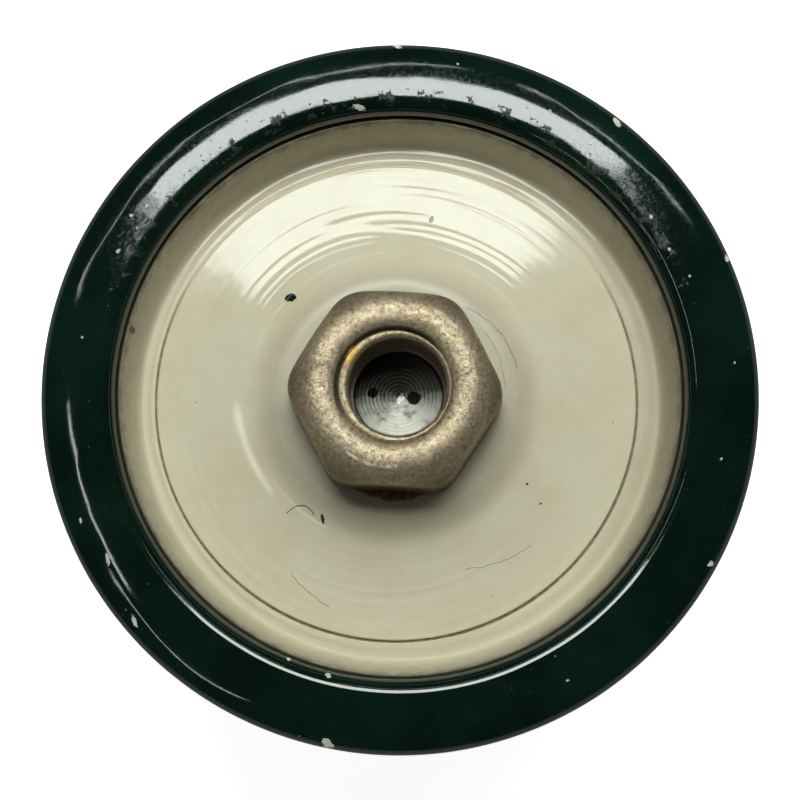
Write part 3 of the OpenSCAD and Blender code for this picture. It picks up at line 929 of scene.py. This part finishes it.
class INSULATOR_OT_bush(bpy.types.Operator):
    """Builds the hex-headed bush with its blind socket"""

    bl_idname = "insulator.bush"
    bl_label = "Socket bush"

    def execute(self, context):
        form, finish = context.scene.insulator_form, context.scene.insulator_finish
        points = bush_outline(form)
        turns = 480
        radius = np.repeat(points[:, :1], turns, axis=1)
        height = np.repeat(points[:, 1:], turns, axis=1)
        phi = turn_angles(turns)[None, :]
        side = hex_limit(phi, form.hex_flats, form.hex_turn)
        # The flats cut the head alone, and its corners are worn round.
        past_shank, corner_blend, corner_wear = 7.2 * MM, 0.45 * MM, 0.35 * MM
        limited = np.where(radius > past_shank, soft_min(radius, side, corner_blend), radius)
        rounded = limited - corner_wear * np.clip((limited - 9.0 * MM) / (0.7 * MM), 0.0, 1.0) ** 2
        # The socket stands on the plug's axis, and the rest of the bush on the core's.
        inner = np.clip((5.0 * MM - points[:, :1]) / (0.5 * MM), 0.0, 1.0)
        drift = (PLUG_AXIS - CORE_AXIS) * inner * (points[:, 1:] > PLUG_HIGH[2] - 3 * MM)
        piece = grid_mesh("hex_socket_bush", swept(CORE_AXIS + drift, rounded, phi, height), closed=False)
        place(piece, "bush", "nickelled_brass", ["socket_bush"], worn_nickel(finish))
        return {"FINISHED"}


class INSULATOR_OT_plug(bpy.types.Operator):
    """Builds the turned stop plug at the bottom of the socket"""

    bl_idname = "insulator.plug"
    bl_label = "Stop plug"

    def execute(self, context):
        finish = context.scene.insulator_finish
        points = plug_outline()
        radius = points[:, 0]
        on_dish = points[:, 1] > PLUG_HIGH[2] - 0.6 * MM
        depth, feed = 0.0042 * MM, 0.34 * MM
        groove = depth * (np.cos(2.0 * math.pi * radius / feed) - 1.0) * on_dish * (radius < 3.6 * MM)
        turns = 256
        relief = np.repeat(groove[:, None], turns, axis=1)
        piece = grid_mesh("turned_stop_plug", turned(points, turns, relief, axis_x=PLUG_AXIS), closed=False)
        place(piece, "bush", "turned_aluminium", ["stop_plug"], turned_aluminium(finish))
        return {"FINISHED"}


class INSULATOR_OT_washer(bpy.types.Operator):
    """Builds the fibre washer under the hex head, with a ragged edge"""

    bl_idname = "insulator.washer"
    bl_label = "Hub washer"

    def execute(self, context):
        edge = WASHER_HIGH[0] - CORE_AXIS
        low, high = WASHER_LOW[2], WASHER_HIGH[2]
        half = (high - low) / 2
        points = outline(
            line((SHANK_HOLE, low), (edge - half, low), 8),
            arc((edge - half, low + half), half, -90, 90, 12),
            line((edge - half, high), (SHANK_HOLE, high), 8),
            line((SHANK_HOLE, high), (SHANK_HOLE, low), 3),
        )
        turns = 384
        phi = turn_angles(turns)[None, :]
        squeezed = sum(
            share * np.exp(-(angle_from(middle, phi) / width) ** 2)
            for middle, width, share in ((-86, 0.42, 1.0), (-112, 0.25, 0.5)))
        ragged = 0.07 * MM * (np.sin(5 * phi + 0.7) * np.sin(13 * phi) + 0.6 * np.sin(31 * phi + 2.0) - 1.6)
        # The edge stands back under the head, except where the old compound is squeezed out.
        set_back = 1.15 * MM
        inset = np.minimum(-set_back * (1.0 - np.clip(squeezed, 0.0, 1.0)) + ragged, 0.0)
        outer = np.clip((points[:, :1] - 8.0 * MM) / (0.5 * MM), 0.0, 1.0)
        radius = points[:, :1] + inset * outer
        height = np.repeat(points[:, 1:], turns, axis=1)
        piece = grid_mesh("fibre_hub_washer", swept(CORE_AXIS, radius, phi, height), closed=True)
        material = dull_compound("oiled_fibre", (0.10, 0.062, 0.035), (0.30, 0.21, 0.13))
        place(piece, "washer", "fibre", ["hub_washer"], material)
        return {"FINISHED"}


class INSULATOR_OT_inner_parts(bpy.types.Operator):
    """Gives the hidden cements, bedding, sleeve and cushion their finishes"""

    bl_idname = "insulator.inner_parts"
    bl_label = "Inner parts"

    def execute(self, context):
        cement = dull_compound("neat_cement", (0.30, 0.29, 0.26), (0.42, 0.41, 0.38))
        finishes = {
            "shell_cement": cement,
            "anchor_cement": cement,
            "core_bedding": dull_compound("bedding_compound", (0.20, 0.18, 0.15), (0.28, 0.26, 0.22)),
            "cushion_disc": dull_compound("pressed_cork", (0.34, 0.21, 0.11), (0.52, 0.35, 0.20)),
            "anchor_sleeve": dull_zinc(),
        }
        for node, material in finishes.items():
            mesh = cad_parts[node].data
            mesh.materials.clear()
            mesh.materials.append(material)
        return {"FINISHED"}


class INSULATOR_OT_stage(bpy.types.Operator):
    """Sets the pale floor, the window and strip lights, the surroundings and the camera"""

    bl_idname = "insulator.stage"
    bl_label = "Stage"

    def execute(self, context):
        studio = context.scene.insulator_studio
        target = Vector((0.05 * MM, -0.5 * MM, BELL_HIGH[2] - 1.6 * MM))
        mirror = math.tan(math.pi / 2 - studio.elevation)
        centre = np.array([-mirror * math.sin(studio.azimuth), mirror * math.cos(studio.azimuth)])
        self.floor()
        lights = (
            ("window", (47, 142), (0.14, 0.53), studio.window_power),
            ("strip_left", (180, 215), (0.555, 0.58), studio.strip_power * 1.3),
            ("strip_far_left", (80, 160), (0.77, 0.80), studio.strip_power),
            ("strip_far_right", (35, 70), (0.77, 0.80), studio.strip_power),
            ("strip_low_left", (210, 242), (0.77, 0.80), studio.strip_power),
        )
        for name, degrees, reach, radiance in lights:
            self.glow(name, target, centre, degrees, reach, radiance)
        self.fill(target, studio.fill_power)
        self.surroundings(context)
        self.camera(context, studio, target)
        return {"FINISHED"}

    def floor(self):
        """A broad pale floor under the crown, left out of reflections."""
        half = 3.0  # metres
        mesh = bpy.data.meshes.new("floor")
        corners = [(-half, -half, 0.0), (half, -half, 0.0), (half, half, 0.0), (-half, half, 0.0)]
        mesh.from_pydata(corners, [], [(0, 1, 2, 3)])
        plane = add_object("floor", mesh)
        plane.visible_glossy = False
        s = Shader("pale_floor", roughness=0.9)
        tone = s.mix(s.noise(40 * MM, detail=2.0), (0.90, 0.90, 0.90), (0.92, 0.92, 0.92))
        s.set(Base_Color=tone, Emission_Color=(1.0, 1.0, 1.0), Emission_Strength=0.9)
        mesh.materials.append(s.material)

    def glow(self, name, target, centre, degrees, reach, radiance):
        """A glowing sector of a ring in a level plane 0.9 m up. centre and reach are slopes, metres across
        for each metre of height; degrees is its range of angles round the centre."""
        height = 0.9
        steps = 24
        phi = np.radians(np.linspace(degrees[0], degrees[1], steps + 1))
        ring = np.stack([np.cos(phi), np.sin(phi)], axis=-1)
        flat = np.concatenate([centre + reach[0] * ring, centre + reach[1] * ring]) * height
        vertices = np.column_stack([flat, np.full(len(flat), height)]) + np.array(target)
        index = np.arange(steps)
        faces = np.stack([index, index + steps + 1, index + steps + 2, index + 1], axis=-1)
        mesh = bpy.data.meshes.new(name)
        mesh.from_pydata(vertices.tolist(), [], faces.tolist())
        lamp = add_object(name, mesh)
        s = Shader(name)
        s.set(Base_Color=(0.0, 0.0, 0.0), Emission_Color=(0.95, 1.0, 0.96), Emission_Strength=radiance)
        mesh.materials.append(s.material)

    def fill(self, target, radiance):
        """A broad soft light on the window's side that adds no highlights."""
        light = bpy.data.lights.new("fill", "AREA")
        light.shape = "RECTANGLE"
        light.size, light.size_y = 0.81, 0.54
        # Watts that give a flat light of this area this radiance.
        light.energy = radiance * math.pi * light.size * light.size_y
        light.color = (1.0, 1.0, 0.97)
        lamp = add_object("fill", light)
        lamp.location = target + Vector((0.16, 0.50, 0.9))
        lamp.visible_glossy = False

    def surroundings(self, context):
        """A dim grey room above, pale near the horizon."""
        world = bpy.data.worlds.new("studio")
        world.use_nodes = True
        tree = world.node_tree
        tree.nodes.clear()
        output = tree.nodes.new("ShaderNodeOutputWorld")
        background = tree.nodes.new("ShaderNodeBackground")
        place = tree.nodes.new("ShaderNodeTexCoord")
        split = tree.nodes.new("ShaderNodeSeparateXYZ")
        fade = tree.nodes.new("ShaderNodeMapRange")
        fade.interpolation_type = "SMOOTHSTEP"
        for name, number in (("From Min", 0.05), ("From Max", 0.35), ("To Min", 0.30), ("To Max", 0.02)):
            fade.inputs[name].default_value = number
        tree.links.new(place.outputs["Generated"], split.inputs[0])
        tree.links.new(split.outputs[2], fade.inputs["Value"])
        tree.links.new(fade.outputs[0], background.inputs["Strength"])
        background.inputs["Color"].default_value = (1.0, 1.0, 1.0, 1.0)
        tree.links.new(background.outputs[0], output.inputs["Surface"])
        context.scene.world = world

    def camera(self, context, studio, target):
        """A camera that leans off the upright axis, with +Y kept upwards in its picture."""
        away = Vector((
            math.cos(studio.elevation) * math.sin(studio.azimuth),
            -math.cos(studio.elevation) * math.cos(studio.azimuth),
            math.sin(studio.elevation)))
        right = Vector((0.0, 1.0, 0.0)).cross(away).normalized()
        up = away.cross(right).normalized()
        data = bpy.data.cameras.new("camera")
        data.sensor_width = 36.0
        data.lens = 36.0 * studio.distance / studio.view_width
        data.clip_start = 0.01
        camera = add_object("camera", data)
        turn = Matrix((right, up, away)).transposed().to_4x4()
        camera.matrix_world = Matrix.Translation(target + away * studio.distance) @ turn
        context.scene.camera = camera
        context.scene.view_settings.view_transform = "Standard"


class INSULATOR_PT_panel(bpy.types.Panel):
    """Lists the steps that build the insulator"""

    bl_label = "Pin Insulator"
    bl_space_type = "VIEW_3D"
    bl_region_type = "UI"
    bl_category = "Insulator"

    def draw(self, context):
        for step in STEPS:
            self.layout.operator(step.bl_idname)
        for group in (getattr(context.scene, name) for name in GROUPS):
            box = self.layout.box()
            for name in group.__annotations__:
                box.prop(group, name)


STEPS = (
    INSULATOR_OT_bell, INSULATOR_OT_inner_shell, INSULATOR_OT_core, INSULATOR_OT_seals, INSULATOR_OT_bush,
    INSULATOR_OT_plug, INSULATOR_OT_washer, INSULATOR_OT_inner_parts, INSULATOR_OT_stage,
)
GROUPS = {
    "insulator_form": InsulatorForm,
    "insulator_finish": InsulatorFinish,
    "insulator_studio": InsulatorStudio,
}


def register():
    for group in GROUPS.values():
        bpy.utils.register_class(group)
    for name, group in GROUPS.items():
        setattr(bpy.types.Scene, name, bpy.props.PointerProperty(type=group))
    for step in STEPS:
        bpy.utils.register_class(step)
    bpy.utils.register_class(INSULATOR_PT_panel)


def unregister():
    bpy.utils.unregister_class(INSULATOR_PT_panel)
    for step in reversed(STEPS):
        bpy.utils.unregister_class(step)
    for name in GROUPS:
        delattr(bpy.types.Scene, name)
    for group in reversed(tuple(GROUPS.values())):
        bpy.utils.unregister_class(group)


def main():
    register()
    for step in STEPS:
        family, name = step.bl_idname.split(".")
        getattr(getattr(bpy.ops, family), name)()


if __name__ == "__main__":
    main()
